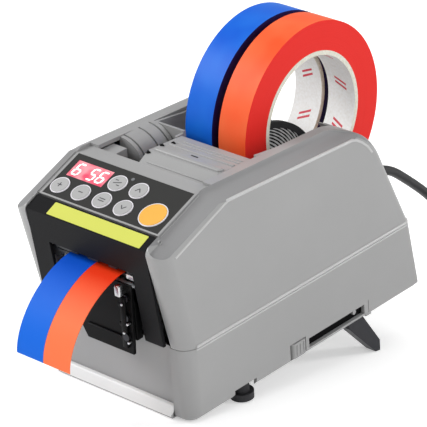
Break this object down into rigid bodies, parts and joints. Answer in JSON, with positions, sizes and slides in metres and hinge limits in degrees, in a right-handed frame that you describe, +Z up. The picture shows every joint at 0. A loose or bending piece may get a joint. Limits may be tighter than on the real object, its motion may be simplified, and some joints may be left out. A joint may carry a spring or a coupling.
{
  "type": "electric tape dispenser",
  "caption": "Desktop electric tape dispenser with rolls of coloured tape in an open well, a control panel, a hinged front cover and fold-out rear legs.",
  "frame": {"origin": "middle of the machine's box, cord left out, on the surface that its feet stand on", "axes": "+Z up, -Y towards the tape outlet, +X to the right seen from the outlet; the machine leans forward on its rear legs"},
  "size_m": [0.1427, 0.4383, 0.2036],
  "materials": {
    "casing": "fine-textured light grey moulding",
    "panel": "dark grey film over a plate",
    "black_plastic": "satin black moulding",
    "grey_plastic": "fine-textured light grey moulding",
    "key_grey": "soft light grey",
    "key_orange": "soft orange yellow",
    "window": "smoked clear pane",
    "electronics": "black",
    "lamp": "red lens",
    "board": "green solder mask",
    "steel": "bare",
    "roller_rubber": "dull black",
    "gear_nylon": "white nylon",
    "tape_blue": "glossy blue film",
    "tape_orange": "glossy orange-red film",
    "core_card": "white card",
    "cord": "black PVC"
  },
  "bodies": {
    "casing": {"base_tray": "casing", "upper_cover": "casing", "control_panel": "panel", "display_window": "window", "display_module": "electronics", "indicator_lamp": "lamp", "control_board": "board", "key_switches": "electronics", "support_shafts": "steel", "roll_divider": "black_plastic", "tape_well": "black_plastic", "side_frame_left": "steel", "side_frame_right": "steel", "feed_motor": "steel", "supply_blue": "tape_blue", "cut_strip_blue": "tape_blue", "supply_orange": "tape_orange", "cut_strip_orange": "tape_orange", "cutter_solenoid": "steel", "fixed_blade": "steel", "outlet_guide": "black_plastic", "outlet_plate": "steel", "cutter_guard": "black_plastic", "rubber_feet": "roller_rubber", "power_supply": "steel", "main_board": "board", "screws": "steel", "rocker_housing": "black_plastic", "strain_relief": "cord", "power_cord": "cord", "cord_coil": "cord", "mains_plug": "cord"},
    "front_cover": {"front_cover": "black_plastic"},
    "feed_lid": {"feed_lid": "grey_plastic"},
    "roll_blue": {"tape_blue": "tape_blue", "core_blue": "core_card"},
    "roll_orange": {"tape_orange": "tape_orange", "core_orange": "core_card"},
    "front_support": {"support_roller_front": "roller_rubber"},
    "rear_support": {"support_roller_rear": "roller_rubber"},
    "drive": {"drive_shaft": "steel", "drive_roller": "roller_rubber", "drive_gear": "gear_nylon"},
    "press": {"press_roller": "roller_rubber"},
    "motor_rotor": {"motor_pinion": "gear_nylon"},
    "cutter": {"moving_blade": "steel", "blade_carrier": "steel"},
    "leg_left": {"leg_left": "black_plastic"},
    "leg_right": {"leg_right": "black_plastic"},
    "catch_left": {"leg_catch_left": "grey_plastic"},
    "catch_right": {"leg_catch_right": "grey_plastic"},
    "rocker": {"power_rocker": "electronics"},
    "key_plus": {"key_plus": "key_grey"},
    "key_minus": {"key_minus": "key_grey"},
    "key_mode": {"key_mode": "key_grey"},
    "key_down": {"key_down": "key_grey"},
    "key_set": {"key_set": "key_grey"},
    "key_up": {"key_up": "key_grey"},
    "key_start": {"key_start": "key_orange"}
  },
  "joints": [
    {"name": "roll_orange_spin", "type": "hinge", "parent": "casing", "child": "roll_orange", "pos_m": [0, 0.0548, 0.14487], "axis": [1, 0, 0], "continuous": true},
    {"name": "roll_blue_spin", "type": "hinge", "parent": "casing", "child": "roll_blue", "pos_m": [0, 0.0548, 0.14487], "axis": [1, 0, 0], "continuous": true},
    {"name": "drive_spin", "type": "hinge", "parent": "casing", "child": "drive", "pos_m": [0, -0.07715, 0.08114], "axis": [1, 0, 0], "continuous": true},
    {"name": "press_spin", "type": "hinge", "parent": "casing", "child": "press", "pos_m": [0, -0.07966, 0.09542], "axis": [1, 0, 0], "continuous": true},
    {"name": "front_support_spin", "type": "hinge", "parent": "casing", "child": "front_support", "pos_m": [0, 0.01059, 0.0958], "axis": [1, 0, 0], "continuous": true},
    {"name": "rear_support_spin", "type": "hinge", "parent": "casing", "child": "rear_support", "pos_m": [0, 0.08781, 0.08766], "axis": [1, 0, 0], "continuous": true},
    {"name": "motor_spin", "type": "hinge", "parent": "casing", "child": "motor_rotor", "pos_m": [0, -0.06077, 0.06966], "axis": [1, 0, 0], "continuous": true},
    {"name": "front_cover_swing", "type": "hinge", "parent": "casing", "child": "front_cover", "pos_m": [0, -0.09941, 0.11184], "axis": [1, 0, 0], "range_deg": [-80, 0]},
    {"name": "feed_lid_lift", "type": "hinge", "parent": "casing", "child": "feed_lid", "pos_m": [0, -0.01518, 0.13634], "axis": [1, 0, 0], "range_deg": [-70, 0]},
    {"name": "leg_left_fold", "type": "hinge", "parent": "casing", "child": "leg_left", "pos_m": [0, 0.06444, 0.03245], "axis": [1, 0, 0], "range_deg": [-118, 0]},
    {"name": "leg_right_fold", "type": "hinge", "parent": "casing", "child": "leg_right", "pos_m": [0, 0.06444, 0.03245], "axis": [1, 0, 0], "range_deg": [-118, 0]},
    {"name": "cutter_lift", "type": "slide", "parent": "casing", "child": "cutter", "axis": [0, -0.1734, 0.9849], "range_m": [0, 0.008], "stiffness_N_per_m": 150},
    {"name": "key_plus_press", "type": "slide", "parent": "casing", "child": "key_plus", "axis": [0, 0.5118, -0.8591], "range_m": [0, 0.001], "stiffness_N_per_m": 300},
    {"name": "key_minus_press", "type": "slide", "parent": "casing", "child": "key_minus", "axis": [0, 0.5118, -0.8591], "range_m": [0, 0.001], "stiffness_N_per_m": 300},
    {"name": "key_mode_press", "type": "slide", "parent": "casing", "child": "key_mode", "axis": [0, 0.5118, -0.8591], "range_m": [0, 0.001], "stiffness_N_per_m": 300},
    {"name": "key_down_press", "type": "slide", "parent": "casing", "child": "key_down", "axis": [0, 0.5118, -0.8591], "range_m": [0, 0.001], "stiffness_N_per_m": 300},
    {"name": "key_set_press", "type": "slide", "parent": "casing", "child": "key_set", "axis": [0, 0.5118, -0.8591], "range_m": [0, 0.001], "stiffness_N_per_m": 300},
    {"name": "key_up_press", "type": "slide", "parent": "casing", "child": "key_up", "axis": [0, 0.5118, -0.8591], "range_m": [0, 0.001], "stiffness_N_per_m": 300},
    {"name": "key_start_press", "type": "slide", "parent": "casing", "child": "key_start", "axis": [0, 0.5118, -0.8591], "range_m": [0, 0.001], "stiffness_N_per_m": 300},
    {"name": "catch_left_slide", "type": "slide", "parent": "casing", "child": "catch_left", "axis": [0, -0.9849, -0.1734], "range_m": [0, 0.0015], "stiffness_N_per_m": 150},
    {"name": "catch_right_slide", "type": "slide", "parent": "casing", "child": "catch_right", "axis": [0, -0.9849, -0.1734], "range_m": [0, 0.0015], "stiffness_N_per_m": 150},
    {"name": "rocker_tip", "type": "hinge", "parent": "casing", "child": "rocker", "pos_m": [-0.028, 0.11544, 0.06428], "axis": [1, 0, 0], "range_deg": [-8, 8]}
  ],
  "couplings": [
    {"joint": "roll_blue_spin", "follows": "roll_orange_spin", "ratio": 1},
    {"joint": "drive_spin", "follows": "roll_orange_spin", "ratio": -7.8333},
    {"joint": "press_spin", "follows": "roll_orange_spin", "ratio": 9.7917},
    {"joint": "front_support_spin", "follows": "roll_orange_spin", "ratio": -8.3929},
    {"joint": "rear_support_spin", "follows": "roll_orange_spin", "ratio": -8.3929},
    {"joint": "motor_spin", "follows": "roll_orange_spin", "ratio": 18.278}
  ]
}
